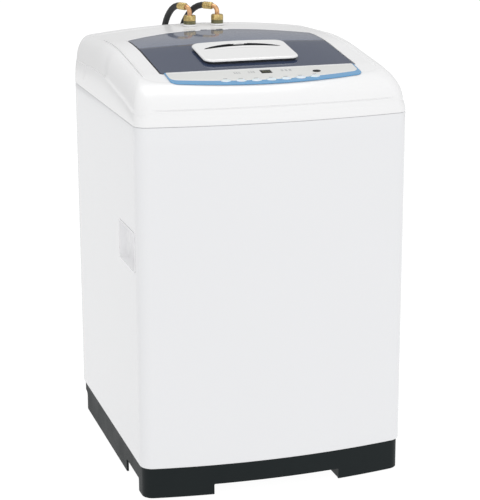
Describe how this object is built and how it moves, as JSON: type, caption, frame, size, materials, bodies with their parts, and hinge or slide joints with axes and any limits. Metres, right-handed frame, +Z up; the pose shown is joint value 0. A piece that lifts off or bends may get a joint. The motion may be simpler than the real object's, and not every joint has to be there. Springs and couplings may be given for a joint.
{
  "type": "top-load washing machine",
  "caption": "Full-height portable top-load washer with a folding tinted lid, hung tub, basket and pulsator, sloped controls and two inlet hoses.",
  "frame": {"origin": "on the floor under the centre of the machine, its hoses not counted", "axes": "+X to the right seen from the front, +Y to the back, +Z up"},
  "size_m": [0.6054, 0.7353, 1.0054],
  "materials": {
    "white_enamelled_steel": "glossy enamel",
    "white_plastic": "glossy",
    "inner_white_plastic": "satin",
    "black_plastic": "fine grain",
    "grey_plastic": "satin",
    "tinted_pane": "clear blue-grey tint",
    "silver_plastic": "fine brushed silver film",
    "blue_plastic": "gloss",
    "display_black": "gloss",
    "steel": "brushed",
    "zinc_steel": "zinc plated",
    "cast_aluminium": "as cast",
    "brass": "dull",
    "rubber": "matte",
    "board": "solder mask"
  },
  "bodies": {
    "cabinet": {"base_frame": "black_plastic", "cabinet_wrap": "white_enamelled_steel", "back_panel": "white_enamelled_steel", "side_grip_left": "white_plastic", "side_grip_right": "white_plastic", "top_cover": "white_plastic", "control_fascia": "silver_plastic", "blue_trim": "blue_plastic", "display_window": "display_black", "control_board": "board", "lid_hinge_bracket": "zinc_steel", "lid_hinge_pin": "zinc_steel", "inlet_valve": "white_plastic", "fill_spout": "inner_white_plastic", "pressure_switch": "inner_white_plastic", "drain_outlet": "grey_plastic", "cord_gland": "black_plastic", "suspension_rod_front_left": "zinc_steel", "suspension_rod_front_right": "zinc_steel", "suspension_rod_rear_left": "zinc_steel", "suspension_rod_rear_right": "zinc_steel", "inlet_nut_left": "brass", "inlet_nut_right": "brass", "inlet_elbow_left": "brass", "inlet_elbow_right": "brass", "inlet_hose_left": "rubber", "inlet_hose_right": "rubber", "hose_coupling_left": "brass", "hose_coupling_right": "brass"},
    "lid_back_leaf": {"lid_rear": "tinted_pane", "lid_fold_pin": "zinc_steel"},
    "lid_front_leaf": {"lid_front": "tinted_pane", "lid_handle": "white_plastic"},
    "tub": {"outer_tub": "grey_plastic", "tub_cover_ring": "grey_plastic", "gear_case": "cast_aluminium", "motor_plate": "zinc_steel", "motor": "zinc_steel", "motor_capacitor": "grey_plastic", "drive_belt": "rubber", "drain_valve": "grey_plastic"},
    "basket": {"wash_basket": "steel", "balance_ring": "inner_white_plastic", "lint_filter": "grey_plastic", "spin_tube": "steel"},
    "agitator": {"pulsator": "inner_white_plastic", "drive_shaft": "steel", "drive_pulley": "cast_aluminium"},
    "rotor": {"motor_pulley": "zinc_steel"},
    "key_power": {"button_power": "white_plastic"},
    "key_start_pause": {"button_start_pause": "white_plastic"},
    "key_cycle": {"button_cycle": "white_plastic"},
    "key_water_level": {"button_water_level": "white_plastic"},
    "key_soil": {"button_soil": "white_plastic"},
    "key_rinse": {"button_rinse": "white_plastic"},
    "key_delay": {"button_delay": "white_plastic"},
    "foot_front_left": {"leveling_foot_front_left": "black_plastic"},
    "foot_front_right": {"leveling_foot_front_right": "black_plastic"},
    "foot_rear_left": {"leveling_foot_rear_left": "black_plastic"},
    "foot_rear_right": {"leveling_foot_rear_right": "black_plastic"}
  },
  "joints": [
    {"name": "lid_hinge", "type": "hinge", "parent": "cabinet", "child": "lid_back_leaf", "pos_m": [0, 0.1849, 0.951], "axis": [-1, 0, 0], "range_deg": [0, 80]},
    {"name": "lid_fold", "type": "hinge", "parent": "lid_back_leaf", "child": "lid_front_leaf", "pos_m": [0, 0.0134, 0.93356], "axis": [1, 0, 0], "range_deg": [0, 136]},
    {"name": "tub_bounce", "type": "slide", "parent": "cabinet", "child": "tub", "axis": [0, 0, 1], "range_m": [-0.012, 0.012], "stiffness_N_per_m": 30000, "springref_m": 0.0108},
    {"name": "basket_spin", "type": "hinge", "parent": "tub", "child": "basket", "pos_m": [0, 0, 0.264], "axis": [0, 0, 1], "continuous": true},
    {"name": "pulsator_spin", "type": "hinge", "parent": "tub", "child": "agitator", "pos_m": [0, 0, 0.264], "axis": [0, 0, 1], "continuous": true},
    {"name": "motor_spin", "type": "hinge", "parent": "tub", "child": "rotor", "pos_m": [0.125, 0.1, 0.121], "axis": [0, 0, 1], "continuous": true},
    {"name": "press_power", "type": "slide", "parent": "cabinet", "child": "key_power", "axis": [0, 0, -1], "range_m": [0, 0.0012], "stiffness_N_per_m": 400, "springref_m": -0.0015},
    {"name": "press_start_pause", "type": "slide", "parent": "cabinet", "child": "key_start_pause", "axis": [0, 0, -1], "range_m": [0, 0.0012], "stiffness_N_per_m": 400, "springref_m": -0.0015},
    {"name": "press_cycle", "type": "slide", "parent": "cabinet", "child": "key_cycle", "axis": [0, 0, -1], "range_m": [0, 0.0012], "stiffness_N_per_m": 400, "springref_m": -0.0015},
    {"name": "press_water_level", "type": "slide", "parent": "cabinet", "child": "key_water_level", "axis": [0, 0, -1], "range_m": [0, 0.0012], "stiffness_N_per_m": 400, "springref_m": -0.0015},
    {"name": "press_soil", "type": "slide", "parent": "cabinet", "child": "key_soil", "axis": [0, 0, -1], "range_m": [0, 0.0012], "stiffness_N_per_m": 400, "springref_m": -0.0015},
    {"name": "press_rinse", "type": "slide", "parent": "cabinet", "child": "key_rinse", "axis": [0, 0, -1], "range_m": [0, 0.0012], "stiffness_N_per_m": 400, "springref_m": -0.0015},
    {"name": "press_delay", "type": "slide", "parent": "cabinet", "child": "key_delay", "axis": [0, 0, -1], "range_m": [0, 0.0012], "stiffness_N_per_m": 400, "springref_m": -0.0015},
    {"name": "level_front_left", "type": "slide", "parent": "cabinet", "child": "foot_front_left", "axis": [0, 0, -1], "range_m": [0, 0.012]},
    {"name": "level_front_right", "type": "slide", "parent": "cabinet", "child": "foot_front_right", "axis": [0, 0, -1], "range_m": [0, 0.012]},
    {"name": "level_rear_left", "type": "slide", "parent": "cabinet", "child": "foot_rear_left", "axis": [0, 0, -1], "range_m": [0, 0.012]},
    {"name": "level_rear_right", "type": "slide", "parent": "cabinet", "child": "foot_rear_right", "axis": [0, 0, -1], "range_m": [0, 0.012]}
  ],
  "couplings": [
    {"joint": "lid_fold", "follows": "lid_hinge", "ratio": 1.7},
    {"joint": "motor_spin", "follows": "pulsator_spin", "ratio": 4}
  ]
}
